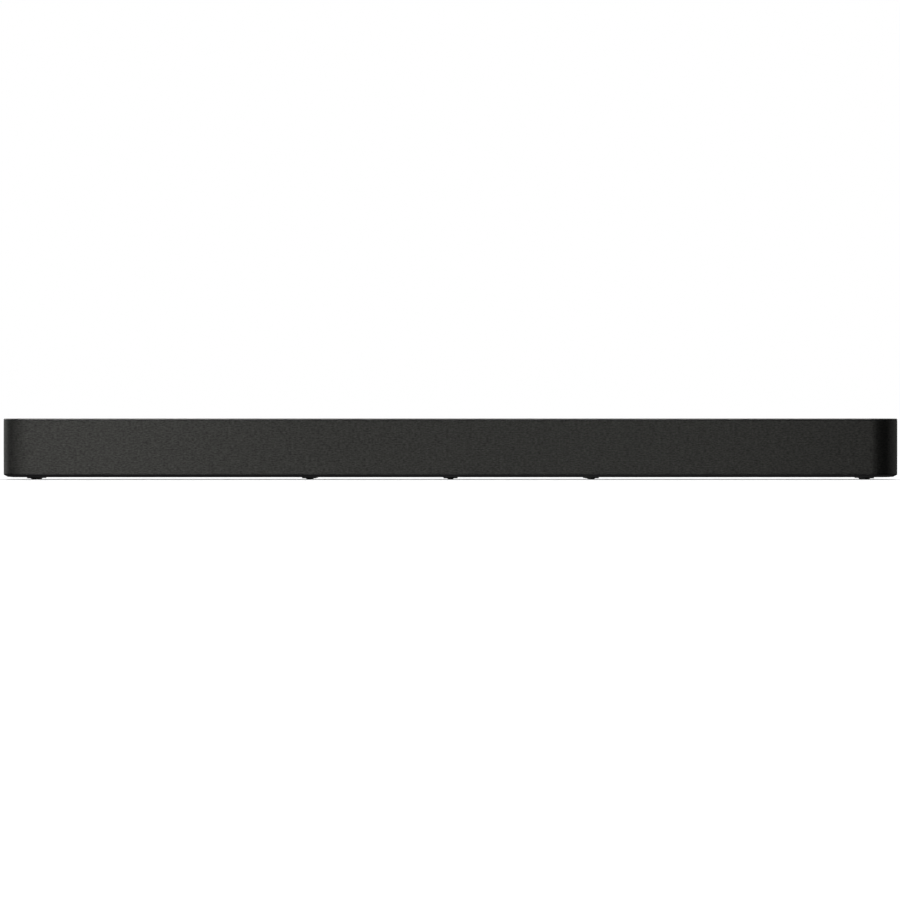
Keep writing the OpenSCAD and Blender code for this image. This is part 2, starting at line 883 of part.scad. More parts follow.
// Front board with a row of indicator lamps and the remote-control receiver
module display_board() {
    front = baffle_y - board_t;
    color([0.05, 0.3, 0.12])
        difference() {
            block([display_x - 25, front, driver_z - 6], [display_x + 25, baffle_y, driver_z + 6]);
            block([display_x - 6, front - 1, driver_z - 1], [display_x + 6, baffle_y + 1, driver_z + 1]);
        }
    color([0.8, 0.8, 0.75]) {
        for (i = [0:4]) {
            rod_y(1, display_x - 21 + i * 3, driver_z + 2, front - 1.2, front + eps);
        }
        block([display_x + 13, front - 1.6, driver_z - 3], [display_x + 19, front + eps, driver_z + 3]);
    }
}

module display_ribbon() {
    color([0.85, 0.85, 0.8])
        ribbon([[baffle_y - 1.2, driver_z - 0.2], [-8, driver_z - 0.2], [-2, 33],
                [-2, connector_top]], display_x, 10);
}

module board(x, y) {
    difference() {
        block([x[0], y[0], board_z], [x[1], y[1], board_top]);
        for (bx = [x[0] + 6, x[1] - 6], by = [y[0] + 5, y[1] - 5]) {
            translate([bx, by, board_z - 1]) cylinder(h = 4, r = 1.6);
        }
    }
}

module main_board() { color([0.05, 0.3, 0.12]) board(main_x, board_y); }
module power_board() { color([0.5, 0.35, 0.15]) board(power_x, board_y); }

module on_board(x, y, size) {
    translate([x - size[0] / 2, y - size[1] / 2, board_top]) cube(size);
}

module main_board_parts() {
    color([0.1, 0.1, 0.1]) {
        on_board(66, 12, [16, 16, 1.6]);
        on_board(44, 18, [10, 10, 1.2]);
        on_board(30, 21.2, [12, 4, connector_h]);
        on_board(display_x, -1.5, [12, 4, connector_h]);
        for (at = concat(left_plugs, right_plugs)) {
            on_board(at[0], at[1], [6, 3, plug_h]);
        }
        for (x = [100, 124]) {
            on_board(x, 10, [14, 14, 1.2]);
        }
        for (i = [0:3]) {
            translate([82, 6 + i * 6, board_top]) cylinder(h = 8, r = 2.5);
        }
    }
}

module wireless_module() {
    color([0.75, 0.75, 0.75]) on_board(40, 4, [20, 13, 2.4]);
}

module heat_sink() {
    fin_h = 18;
    z0 = board_top + 1.2;
    color([0.6, 0.6, 0.62]) {
        block([90, 1, z0], [132.8, 20, z0 + 3]);
        for (i = [0:8]) {
            x = 91 + i * 5;
            block([x, 1, z0 + 3 - eps], [x + 1.6, 20, z0 + fin_h]);
        }
    }
}

// A connector shell with a cavity that opens backwards and a tongue inside it
module socket(x, w, h, depth, tongue_z) {
    z0 = board_top;
    wall = 0.5;
    difference() {
        block([x - w / 2, face_y - 17, z0], [x + w / 2, face_y, z0 + h]);
        block([x - w / 2 + wall, face_y - depth, z0 + wall], [x + w / 2 - wall, face_y + 1, z0 + h - wall]);
    }
    block([x - w / 2 + 1.6, face_y - depth - eps, z0 + tongue_z],
          [x + w / 2 - 1.6, face_y - 1.5, z0 + tongue_z + 1.5]);
}

module hdmi_port() { color([0.7, 0.7, 0.7]) socket(122, 15, 5.8, 12, 2.2); }
module usb_port() { color([0.7, 0.7, 0.7]) socket(92, 13.2, 6.2, 13, 3.6); }

module optical_port() {
    color([0.05, 0.05, 0.05])
        difference() {
            block([optical_x - 6.5, face_y - 18, board_top], [optical_x + 6.5, face_y, board_top + 10]);
            block([optical_x - 4.6, face_y - 11, optical_zc - 4.2],
                  [optical_x + 4.6, face_y + 1, optical_zc + 4.2]);
            translate([optical_x - 5.6, shutter_hinge_y, shutter_hinge_z])
                rotate([0, 90, 0]) cylinder(h = 11.2, r = shutter_pin_r + 0.05);
        }
}

// Spring-loaded flap that keeps dust out; it swings inwards about its upper edge
module optical_shutter() {
    color([0.25, 0.25, 0.25]) {
        translate([optical_x - 5.4, shutter_hinge_y, shutter_hinge_z])
            rotate([0, 90, 0]) cylinder(h = 10.8, r = shutter_pin_r);
        block([optical_x - 4.3, shutter_hinge_y - 0.4, optical_zc - 3.9],
              [optical_x + 4.3, shutter_hinge_y + 0.4, shutter_hinge_z]);
    }
}

module audio_jack() {
    x = 34;
    zc = board_top + 4;
    color([0.05, 0.05, 0.05])
        difference() {
            union() {
                block([x - 4.5, face_y - 16, board_top], [x + 4.5, bay_back - 0.4, board_top + 8]);
                rod_y(3.8, x, zc, bay_back - 1, face_y);
            }
            rod_y(1.8, x, zc, face_y - 14, face_y + 1);
        }
}

module power_board_parts() {
    color([0.15, 0.15, 0.15]) {
        on_board(-44, 14, [32, 28, 24]);
        for (i = [0:1]) {
            translate([-80, 6 + i * 18, board_top]) cylinder(h = 26, r = 8);
        }
        on_board(-112, 6, [22, 12, 12]);
        on_board(-22, 12, [8, 6, 6]);
    }
    color([0.6, 0.6, 0.62]) on_board(-64, 14, [2, 30, 22]);
}

// Two-pin mains inlet: a block with a figure-eight well and two pins
module ac_inlet() {
    well_y = hy - 13;
    color([0.04, 0.04, 0.04]) {
        difference() {
            union() {
                block([inlet_x - 13, inlet_back, driver_z - 8], [inlet_x + 13, hy - rear_t, driver_z + 8]);
                translate([inlet_x, hy - 0.2, driver_z]) rotate([90, 0, 0]) pill(21, 13, 4);
            }
            translate([inlet_x, hy + 1, driver_z]) rotate([90, 0, 0]) pill(17, 9, hy + 1 - well_y);
        }
        for (side = [-1, 1]) {
            rod_y(1.2, inlet_x + side * 4.3, driver_z, well_y - eps, hy - 2);
        }
    }
}

module at_standoffs() {
    for (x = [main_x[0] + 6, main_x[1] - 6, power_x[0] + 6, power_x[1] - 6],
         y = [board_y[0] + 5, board_y[1] - 5]) {
        translate([x, y, 0]) children();
    }
}

module board_standoffs() {
    color([0.7, 0.55, 0.25])
        at_standoffs()
            difference() {
                union() {
                    translate([0, 0, z_floor]) cylinder(h = board_z - z_floor, r = 3, $fn = 6);
                    translate([0, 0, z_floor - 1]) cylinder(h = 1 + eps, r = 2.5);
                }
                translate([0, 0, board_z - 6]) cylinder(h = 7, r = 1.5);
            }
}

module board_screws() {
    color([0.6, 0.6, 0.6]) {
        at_standoffs() {
            translate([0, 0, board_top]) cylinder(h = 1.6, r = 2.8);
            translate([0, 0, board_top - 6]) cylinder(h = 6 + eps, r = 1.4);
        }
        for (side = [-1, 1]) {
            translate([side * 52, key_y, key_board_z - 1.4]) cylinder(h = 1.4, r = 2.2);
            translate([side * 52, key_y, key_board_z - eps]) cylinder(h = 5, r = 0.95);
        }
    }
}

// Speaker wires from the main board to each speaker, and the mains wires
module wires() {
    color([0.7, 0.1, 0.08]) {
        tube(centre_wire, wire_r);
        tube(left_sub_wire, wire_r);
        tube(left_wire, wire_r);
        tube(right_sub_wire, wire_r);
        tube(right_wire, wire_r);
    }
    color([0.3, 0.2, 0.1])
        for (x = [inlet_x - 4, inlet_x + 4]) {
            tube([[x, inlet_back, 36], [x, 39, 36], [x, 35, 34], [x, 33, 31], [x, 33, board_top]], wire_r);
        }
}

top_cover();
bottom_cover();
grille_cloth();
grille_frame();
grille_grommets();
rear_cover();
port_bay();
front_feet();
rear_feet();
power_key();
source_key();
pairing_key();
volume_down_key();
volume_up_key();
key_board();
key_switches();
key_ribbon();
front_baffle();
left_cone();
left_sub_cone();
centre_cone();
right_sub_cone();
right_cone();
left_voice_coil();
left_sub_voice_coil();
centre_voice_coil();
right_sub_voice_coil();
right_voice_coil();
left_suspension();
left_sub_suspension();
centre_suspension();
right_sub_suspension();
right_suspension();
driver_baskets();
driver_gaskets();
driver_magnets();
driver_yokes();
driver_screws();
speaker_boxes();
sub_boxes();
bass_ports();
display_board();
display_ribbon();
main_board();
main_board_parts();
wireless_module();
heat_sink();
hdmi_port();
usb_port();
optical_port();
optical_shutter();
audio_jack();
power_board();
power_board_parts();
ac_inlet();
board_standoffs();
board_screws();
wall_inserts();
cover_screws();
wires();
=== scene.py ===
"""Slim soundbar: looks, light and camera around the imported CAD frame. Lengths are in metres."""

import math

import bpy
import numpy as np
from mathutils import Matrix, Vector


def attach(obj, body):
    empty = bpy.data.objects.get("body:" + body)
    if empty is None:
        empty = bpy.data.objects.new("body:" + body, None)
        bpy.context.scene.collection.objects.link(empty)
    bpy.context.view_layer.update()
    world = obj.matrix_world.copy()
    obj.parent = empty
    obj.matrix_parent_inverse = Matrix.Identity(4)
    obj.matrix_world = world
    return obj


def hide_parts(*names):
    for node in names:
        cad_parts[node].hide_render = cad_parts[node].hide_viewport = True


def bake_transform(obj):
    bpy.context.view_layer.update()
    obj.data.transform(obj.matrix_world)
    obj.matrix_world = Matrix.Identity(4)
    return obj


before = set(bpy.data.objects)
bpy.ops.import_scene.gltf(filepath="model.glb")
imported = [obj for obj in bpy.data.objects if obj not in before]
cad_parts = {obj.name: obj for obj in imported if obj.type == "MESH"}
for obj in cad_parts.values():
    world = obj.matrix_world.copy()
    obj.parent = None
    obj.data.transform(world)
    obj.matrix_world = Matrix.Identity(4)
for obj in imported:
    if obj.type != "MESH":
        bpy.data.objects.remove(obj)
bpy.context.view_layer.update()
scene = bpy.context.scene
MM = 0.001

# ---- sizes that part.scad settles, in millimetres ----

HALF_LENGTH = 475
HALF_DEPTH = 64
CORNER_R = 30
CLOTH_END_Y = 33.7                  # where the cloth ends on both sides
BASE_TOP, LID_BOTTOM = 5.6, 62.8    # the cloth's seams
EDGE_BOTTOM = 63.72                 # where the top plate's edge starts to round off
KEY_TOP = 64.45                     # the key caps, without their raised marks
BAFFLE_Y = -56
DRIVER_Z = 34.0
DRIVER_X = {"left": -388, "left_sub": -235, "centre": 0, "right_sub": 235, "right": 388}
TRACK = 52                          # the straight length of a racetrack cone
BLACK = (0.0105, 0.0105, 0.0108)    # the casing's own colour


# ---- node materials ----

class Graph:
    """A node material with one Principled shader."""

    def __init__(self, name):
        self.material = bpy.data.materials.new(name)
        self.material.use_nodes = True
        self.tree = self.material.node_tree
        self.tree.nodes.clear()
        self.skin = self.add("ShaderNodeBsdfPrincipled")
        out = self.add("ShaderNodeOutputMaterial")
        self.join(self.skin.outputs["BSDF"], out.inputs["Surface"])

    def add(self, kind, **settings):
        node = self.tree.nodes.new(kind)
        for key, value in settings.items():
            setattr(node, key, value)
        return node

    def join(self, source, target):
        self.tree.links.new(source, target)

    def feed(self, socket, value):
        """Puts a number, a colour or another node's output into a socket."""
        if isinstance(value, bpy.types.NodeSocket):
            self.join(value, socket)
        else:
            socket.default_value = value

    def math(self, operation, *values):
        """The result of one Math node."""
        node = self.add("ShaderNodeMath", operation=operation)
        for socket, value in zip(node.inputs, values):
            self.feed(socket, value)
        return node.outputs[0]

    def place(self):
        """The point on the piece at rest, in metres."""
        return self.add("ShaderNodeTexCoord").outputs["Object"]

    def axes(self, vector):
        """The three coordinates of a vector."""
        node = self.add("ShaderNodeSeparateXYZ")
        self.join(vector, node.inputs[0])
        return tuple(node.outputs)

    def stretched(self, vector, scale):
        """The vector with each coordinate multiplied by its own scale."""
        node = self.add("ShaderNodeVectorMath", operation="MULTIPLY")
        self.join(vector, node.inputs[0])
        node.inputs[1].default_value = scale
        return node.outputs[0]

    def noise(self, scale, detail=2.0, vector=None, roughness=0.5):
        node = self.add("ShaderNodeTexNoise")
        self.join(self.place() if vector is None else vector, node.inputs["Vector"])
        node.inputs["Scale"].default_value = scale
        node.inputs["Detail"].default_value = detail
        node.inputs["Roughness"].default_value = roughness
        return node.outputs["Fac"]

    def spread(self, value, low, high, from_low=0.25, from_high=0.75):
        """Carries from_low...from_high over to low...high, and holds it there outside them."""
        node = self.add("ShaderNodeMapRange")
        self.feed(node.inputs["Value"], value)
        for key, number in (("From Min", from_low), ("From Max", from_high),
                            ("To Min", low), ("To Max", high)):
            node.inputs[key].default_value = number
        return node.outputs[0]

    def blend(self, factor, low, high):
        """The first colour where the factor is 0, the second where it is 1."""
        node = self.add("ShaderNodeMix", data_type="RGBA")
        factor_in, first_in, second_in, colour_out = 0, 6, 7, 2  # the node's sockets for colours
        self.feed(node.inputs[factor_in], factor)
        self.feed(node.inputs[first_in], low)
        self.feed(node.inputs[second_in], high)
        return node.outputs[colour_out]

    def bumped(self, height, distance, strength=1.0, normal=None):
        """The normal that a height pattern gives."""
        node = self.add("ShaderNodeBump")
        node.inputs["Strength"].default_value = strength
        node.inputs["Distance"].default_value = distance
        self.feed(node.inputs["Height"], height)
        if normal is not None:
            self.join(normal, node.inputs["Normal"])
        return node.outputs[0]

    def edges(self, radius):
        """(normal rounded over sharp edges, 0 on flats and 1 on edges)."""
        bevel = self.add("ShaderNodeBevel", samples=4)
        bevel.inputs["Radius"].default_value = radius
        facing = self.add("ShaderNodeNewGeometry").outputs["Normal"]
        dot = self.add("ShaderNodeVectorMath", operation="DOT_PRODUCT")
        self.join(bevel.outputs[0], dot.inputs[0])
        self.join(facing, dot.inputs[1])
        on_edge, on_flat = 0.72, 0.995  # how far the rounded normal agrees with the true one
        return bevel.outputs[0], self.spread(dot.outputs["Value"], 1.0, 0.0, on_edge, on_flat)

    def inside(self, low, high):
        """1 inside a box given in millimetres, 0 outside."""
        found = None
        for axis, lo, hi in zip(self.axes(self.place()), low, high):
            middle, half = (lo + hi) / 2 * MM, (hi - lo) / 2 * MM
            one = self.math("COMPARE", axis, middle, half)
            found = one if found is None else self.math("MULTIPLY", found, one)
        return found


def shade(colour, factor):
    """A colour made darker or lighter."""
    return tuple(min(1.0, c * factor) for c in colour) + (1.0,)


def plastic(name, colour, rough=0.45, grain=0.4, relief=0.00003, tone=0.12, worn=None):
    """Moulded plastic: fine pebble grain, cloudy tone, edges rubbed smoother and lighter.
    The grain's size is in millimetres, its relief in metres."""
    g = Graph(name)
    cloud = g.noise(14, 4)
    speck = g.noise(900, 2)
    mixed = g.math("ADD", g.math("MULTIPLY", cloud, 0.7), g.math("MULTIPLY", speck, 0.3))
    body = g.blend(g.spread(mixed, 0, 1, 0.35, 0.65),
                   shade(colour, 1 - tone), shade(colour, 1 + tone))
    pebble = g.noise(1 / (grain * MM), 1)
    roughness = g.spread(g.noise(45, 3), rough - 0.02, rough + 0.02)
    normal = None
    if worn:
        normal, edge = g.edges(0.0006)
        rub = g.math("MULTIPLY", edge, g.spread(g.noise(160, 3), 0.2, 1.0))
        body = g.blend(g.math("MULTIPLY", rub, worn), body, shade(colour, 2.6))
        roughness = g.math("SUBTRACT", roughness, g.math("MULTIPLY", rub, 0.12))
    g.join(body, g.skin.inputs["Base Color"])
    g.join(roughness, g.skin.inputs["Roughness"])
    g.join(g.bumped(pebble, relief, 0.8, normal), g.skin.inputs["Normal"])
    return g


def metal(name, colour, rough=0.3, brushed=None, tone=0.08):
    """Plated or turned metal with fine tool marks along one axis."""
    g = Graph(name)
    marks = g.noise(1, 2, g.stretched(g.place(), brushed or (900, 900, 900)))
    body = g.blend(g.spread(g.noise(60, 3), 0, 1),
                   shade(colour, 1 - tone), shade(colour, 1 + tone))
    g.join(body, g.skin.inputs["Base Color"])
    g.skin.inputs["Metallic"].default_value = 1.0
    g.join(g.spread(marks, rough - 0.07, rough + 0.1), g.skin.inputs["Roughness"])
    g.join(g.bumped(marks, 0.00001, 0.5), g.skin.inputs["Normal"])
    return g


def rubber(name, colour, rough=0.75):
    """Moulded rubber: matt, with a faint grain and a dusty bloom."""
    g = Graph(name)
    bloom = g.spread(g.noise(220, 4, roughness=0.65), 0, 1, 0.4, 0.75)
    g.join(g.blend(bloom, shade(colour, 0.8), shade(colour, 1.7)), g.skin.inputs["Base Color"])
    g.join(g.spread(g.noise(300, 2), rough - 0.08, rough + 0.08), g.skin.inputs["Roughness"])
    g.join(g.bumped(g.noise(2600, 1), 0.00002, 0.6), g.skin.inputs["Normal"])
    return g


def fabric():
    """Charcoal grille cloth: plain weave of uneven, mottled yarn with a soft sheen."""
    g = Graph("grille_fabric_woven")
    pitch = 0.85 * MM  # from one yarn to the next
    flat = g.add("ShaderNodeUVMap", uv_map="cloth").outputs[0]
    u, v, _ = g.axes(flat)
    across, up = g.math("DIVIDE", u, pitch), g.math("DIVIDE", v, pitch)
    wave = g.math("MULTIPLY", g.math("SINE", g.math("MULTIPLY", across, math.pi)),
                  g.math("SINE", g.math("MULTIPLY", up, math.pi)))
    crown = g.math("POWER", g.math("ABSOLUTE", wave), 0.6)
    warp_on_top = g.math("GREATER_THAN", wave, 0.0)
    # Each yarn has a shade of its own, which drifts slowly along it
    drift = 90  # changes of shade in a metre of yarn
    weft = g.noise(1, 2, g.stretched(flat, (drift, 1 / pitch, 1)))
    warp = g.noise(1, 2, g.stretched(flat, (1 / pitch, drift, 1)))
    yarn = g.add("ShaderNodeMix", data_type="FLOAT")
    g.join(warp_on_top, yarn.inputs[0])
    g.join(weft, yarn.inputs[2])
    g.join(warp, yarn.inputs[3])
    # Short slubs along the weft, fine fibres, and a faint cloudiness of the dye
    slub = g.noise(1, 2, g.stretched(flat, (330, 780, 1)))
    fibre = g.noise(1400, 2, flat)
    cloud = g.noise(150, 3, flat)
    # Painted shade: the yarn crowns are painted lighter and the hollows between the yarns darker
    mean_crown, crown_weight = 0.6, 0.3
    tone = g.math("MULTIPLY", g.math("SUBTRACT", crown, mean_crown), crown_weight)
    for pattern, weight in ((yarn.outputs[0], 0.5), (slub, 1.0), (fibre, 0.35), (cloud, 0.2)):
        tone = g.math("ADD", tone, g.math("MULTIPLY", g.spread(pattern, -0.5, 0.5), weight))
    dark_yarn, pale_yarn = (0.0061, 0.0061, 0.0057, 1), (0.0594, 0.0591, 0.0552, 1)
    body = g.blend(g.spread(tone, 0, 1, -0.75, 0.75), dark_yarn, pale_yarn)
    g.join(body, g.skin.inputs["Base Color"])
    g.skin.inputs["Roughness"].default_value = 0.66
    g.skin.inputs["Specular IOR Level"].default_value = 0.3
    g.skin.inputs["Sheen Weight"].default_value = 0.04
    g.skin.inputs["Sheen Roughness"].default_value = 0.45
    relief = g.math("ADD", crown, g.math("MULTIPLY", fibre, 0.5))
    g.join(g.bumped(relief, 0.00009, 0.5), g.skin.inputs["Normal"])
    return g


def keys():
    """Satin key caps, with a pale print on their raised marks."""
    g = plastic("key_plastic_satin", (0.02, 0.02, 0.021), 0.38, 0.3, 0.00001, worn=0.5)
    body = g.skin.inputs["Base Color"].links[0].from_socket
    _, _, height = g.axes(g.place())
    just_above = 0.02
    mark = g.math("GREATER_THAN", height, (KEY_TOP + just_above) * MM)
    ink = g.blend(g.spread(g.noise(2500, 2), 0, 1), (0.5, 0.5, 0.49, 1), (0.62, 0.62, 0.6, 1))
    g.join(g.blend(mark, body, ink), g.skin.inputs["Base Color"])
    return g


def circuit(name, colour, track):
    """Solder mask with tracks and pads that show faintly through it."""
    g = Graph(name)
    cells = g.add("ShaderNodeTexVoronoi", distance="CHEBYCHEV")
    g.join(g.place(), cells.inputs["Vector"])
    cells.inputs["Scale"].default_value = 420
    cells.inputs["Randomness"].default_value = 0.35
    lines = g.math("GREATER_THAN", cells.outputs["Distance"], 0.5)
    base = g.blend(g.spread(g.noise(30, 2), 0, 1), shade(colour, 0.85), shade(colour, 1.15))
    g.join(g.blend(g.math("MULTIPLY", lines, 0.6), base, track + (1,)), g.skin.inputs["Base Color"])
    g.skin.inputs["Roughness"].default_value = 0.35
    g.join(g.bumped(lines, 0.00003, 0.5), g.skin.inputs["Normal"])
    return g


def components():
    """Chips, plugs and capacitors: black mouldings, a few in white or dark blue."""
    g = Graph("component_plastic_mixed")
    snap = g.add("ShaderNodeVectorMath", operation="SNAP")
    g.join(g.place(), snap.inputs[0])
    snap.inputs[1].default_value = (0.011, 0.009, 1.0)
    pick = g.add("ShaderNodeTexWhiteNoise", noise_dimensions="3D")
    g.join(snap.outputs[0], pick.inputs["Vector"])
    dark = g.blend(g.spread(g.noise(400, 2), 0, 1),
                   (0.015, 0.015, 0.016, 1), (0.03, 0.03, 0.031, 1))
    blue, white = (0.03, 0.05, 0.16, 1), (0.62, 0.6, 0.54, 1)
    tinted = g.blend(g.math("GREATER_THAN", pick.outputs["Value"], 0.72), dark, blue)
    mixed = g.blend(g.math("GREATER_THAN", pick.outputs["Value"], 0.87), tinted, white)
    g.join(mixed, g.skin.inputs["Base Color"])
    g.skin.inputs["Roughness"].default_value = 0.42
    g.join(g.bumped(g.noise(2500, 1), 0.00001, 0.6), g.skin.inputs["Normal"])
    return g


def paper():
    """Pressed pulp cone: dark grey, fibrous."""
    g = Graph("cone_paper_pulp")
    fibres = g.noise(700, 5, roughness=0.7)
    pulp = g.blend(g.spread(fibres, 0, 1), (0.018, 0.018, 0.02, 1), (0.06, 0.06, 0.064, 1))
    g.join(pulp, g.skin.inputs["Base Color"])
    g.skin.inputs["Roughness"].default_value = 0.85
    g.join(g.bumped(fibres, 0.00015, 0.6), g.skin.inputs["Normal"])
    return g


def winding():
    """Enamelled wire wound on a former: fine turns along the coil's axis."""
    g = Graph("coil_copper_wound")
    _, along, _ = g.axes(g.place())
    wire = 0.25 * MM
    turns = g.math("SINE", g.math("MULTIPLY", along, 2 * math.pi / wire))
    tone = g.blend(g.spread(g.noise(500, 2), 0, 1), (0.42, 0.15, 0.05, 1), (0.62, 0.26, 0.1, 1))
    g.join(tone, g.skin.inputs["Base Color"])
    g.skin.inputs["Metallic"].default_value = 0.9
    g.join(g.spread(turns, 0.22, 0.45, -1, 1), g.skin.inputs["Roughness"])
    g.join(g.bumped(turns, 0.00006, 0.7), g.skin.inputs["Normal"])
    return g


def ribbon():
    """Flat cable: pale film with conductors showing as stripes."""
    g = Graph("ribbon_plastic_film")
    x, _, _ = g.axes(g.place())
    stripe = g.math("GREATER_THAN", g.math("SINE", g.math("MULTIPLY", x, 2 * math.pi / MM)), 0.2)
    film = g.blend(g.spread(g.noise(80, 2), 0, 1), (0.66, 0.66, 0.62, 1), (0.78, 0.78, 0.74, 1))
    striped = g.blend(g.math("MULTIPLY", stripe, 0.45), film, (0.5, 0.42, 0.34, 1))
    g.join(striped, g.skin.inputs["Base Color"])
    g.skin.inputs["Roughness"].default_value = 0.3
    g.join(g.bumped(stripe, 0.00005, 0.6), g.skin.inputs["Normal"])
    return g


def shield():
    """Tinned steel shells of the sockets, with the dark plastic tongues inside them."""
    g = metal("shield_steel_tinned", (0.62, 0.62, 0.6), 0.3)
    body = g.skin.inputs["Base Color"].links[0].from_socket
    tongue = g.math("MAXIMUM", g.inside((116, 27, 29.4), (128, 44.6, 31.6)),
                    g.inside((87, 27, 30.2), (97, 44.6, 33.0)))
    g.join(g.blend(tongue, body, (0.02, 0.02, 0.022, 1)), g.skin.inputs["Base Color"])
    g.join(g.math("SUBTRACT", 1.0, tongue), g.skin.inputs["Metallic"])
    return g


def sleeve(name, colour):
    """Soft wire insulation."""
    g = Graph(name)
    tone = g.spread(g.noise(120, 3), 0, 1)
    g.join(g.blend(tone, shade(colour, 0.85), shade(colour, 1.2)), g.skin.inputs["Base Color"])
    g.skin.inputs["Roughness"].default_value = 0.5
    g.join(g.bumped(g.noise(1500, 1), 0.00002, 0.5), g.skin.inputs["Normal"])
    return g


def spider_cloth():
    """Resin-dipped cotton: straw coloured, with a fine open weave."""
    g = Graph("spider_cloth_dipped")
    x, _, z = g.axes(g.place())
    step = 2 * math.pi / (0.7 * MM)
    threads = g.math("MAXIMUM", g.math("SINE", g.math("MULTIPLY", x, step)),
                     g.math("SINE", g.math("MULTIPLY", z, step)))
    stain = g.spread(g.noise(150, 3), 0.7, 1)
    tone = g.math("MULTIPLY", g.spread(threads, 0.35, 1, -0.6, 1), stain)
    straw = g.blend(tone, (0.09, 0.055, 0.02, 1), (0.42, 0.29, 0.13, 1))
    g.join(straw, g.skin.inputs["Base Color"])
    g.skin.inputs["Roughness"].default_value = 0.7
    g.join(g.bumped(threads, 0.0001, 0.6), g.skin.inputs["Normal"])
    return g


def lid():
    """The casing's plastic, with a painted highlight: a fine paler line on the top plate's rounded
    edge.
    """
    g = plastic("casing_plastic_lid", BLACK, 0.42, 0.45, 0.00003, worn=0.35)
    body = g.skin.inputs["Base Color"].links[0].from_socket
    _, _, upward = g.axes(g.add("ShaderNodeNewGeometry").outputs["True Normal"])
    _, _, height = g.axes(g.place())
    mean_slope, either_way = 0.42, 0.32  # the rounded faces, without the upright and flat ones
    # Painted highlight: the upward-sloping faces of the top plate's rounded edge are painted paler,
    # a little unevenly
    rim = g.math("MULTIPLY", g.math("GREATER_THAN", height, EDGE_BOTTOM * MM),
                 g.math("COMPARE", upward, mean_slope, either_way))
    painted_highlight = g.math("MULTIPLY", rim, g.spread(g.noise(160, 3), 0.8, 1.0))
    g.join(g.blend(painted_highlight, body, (0.2, 0.198, 0.193, 1)), g.skin.inputs["Base Color"])
    return g


looks = {
    "casing_plastic": plastic("casing_plastic_grained", BLACK, 0.42, 0.45, 0.00003, worn=0.35),
    "grille_fabric": fabric(),
    "frame_plastic": plastic("frame_plastic_moulded", (0.022, 0.022, 0.022), 0.55),
    "baffle_plastic": plastic("baffle_plastic_moulded", (0.03, 0.03, 0.03), 0.6, 0.6, 0.00005),
    "port_plastic": plastic("port_plastic_smooth", (0.016, 0.016, 0.017), 0.36, 0.3, 0.00001),
    "soft_rubber": rubber("soft_rubber_feet", (0.008, 0.008, 0.008)),
    "surround_rubber": rubber("surround_rubber_roll", (0.014, 0.014, 0.014), 0.55),
    "key_plastic": keys(),
    "circuit_board": circuit("circuit_board_mask", (0.012, 0.11, 0.04), (0.05, 0.24, 0.1)),
    "power_circuit_board": circuit("power_board_mask", (0.26, 0.15, 0.05), (0.4, 0.26, 0.1)),
    "component_plastic": components(),
    "ribbon_plastic": ribbon(),
    "cone_paper": paper(),
    "coil_copper": winding(),
    "basket_plastic": plastic("basket_plastic_glassfilled", (0.035, 0.035, 0.036), 0.5, 0.7,
                              0.00006),
    "magnet_ferrite": plastic("magnet_ferrite_ground", (0.045, 0.044, 0.043), 0.5, 0.5,
                              0.00004, 0.25),
    "yoke_steel": metal("yoke_steel_zinc", (0.6, 0.6, 0.58), 0.32),
    "screw_steel": metal("screw_steel_plated", (0.42, 0.42, 0.43), 0.28, (1800, 1800, 300)),
    "shield_steel": shield(),
    "sink_aluminium": metal("sink_aluminium_extruded", (0.74, 0.75, 0.76), 0.36, (40, 1600, 1600)),
    "brass": metal("brass_turned", (0.72, 0.5, 0.2), 0.28, (1500, 200, 1500)),
    "wire_sleeve": sleeve("wire_sleeve_plain", (0.3, 0.016, 0.012)),
}
spider_look = spider_cloth()
lid_look = lid()
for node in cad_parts.values():
    for part in node.material_slots:
        part.material = looks[part.material.name.split(".")[0]].material
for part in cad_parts["top_cover"].material_slots:
    part.material = lid_look.material


# ---- mesh pieces ----

def new_piece(name, points, faces, look):
    """A smooth mesh from points in millimetres, with one of the looks."""
    mesh = bpy.data.meshes.new(name)
    mesh.from_pydata([tuple(c * MM for c in p) for p in points], [], faces)
    mesh.polygons.foreach_set("use_smooth", [True] * len(mesh.polygons))
    mesh.materials.append(looks[look].material)
    mesh.update()
    piece = bpy.data.objects.new(name, mesh)
    scene.collection.objects.link(piece)
    return piece


def arc(centre, radius, start, end, steps):
    """Points on a circle, with the angle in degrees."""
    angles = [math.radians(start + (end - start) * k / steps) for k in range(steps + 1)]
    return [(centre[0] + radius * math.cos(a), centre[1] + radius * math.sin(a)) for a in angles]


def even(a, b, step):
    """Points from a to b, without b, no further than step apart."""
    n = max(1, math.ceil(math.dist(a, b) / step))
    return [tuple(p + (q - p) * k / n for p, q in zip(a, b)) for k in range(n)]


CLOTH_T = 0.24    # thickness
CLOTH_GAP = 0.03  # clear of the base, the top plate and the rear cover
HEM = 2.4         # what is turned in over the frame
ROLL = 0.45       # radius where the cloth turns in


def cloth_path():
    """The cloth's outer line seen from above, from the left end's hem to the right one's."""
    x, y = HALF_LENGTH, CLOTH_END_Y - CLOTH_GAP
    half = even((-x + ROLL + HEM, y), (-x + ROLL, y), 0.6)
    half += arc((-x + ROLL, y - ROLL), ROLL, 90, 180, 6)[:-1]
    half += even((-x, y - ROLL), (-x, -HALF_DEPTH + CORNER_R), 3)
    half += arc((-x + CORNER_R, -HALF_DEPTH + CORNER_R), CORNER_R, 180, 270, 40)[:-1]
    half += even((-x + CORNER_R, -HALF_DEPTH), (0, -HALF_DEPTH), 4)
    return half + [(0, -HALF_DEPTH)] + [(-px, py) for px, py in reversed(half)]


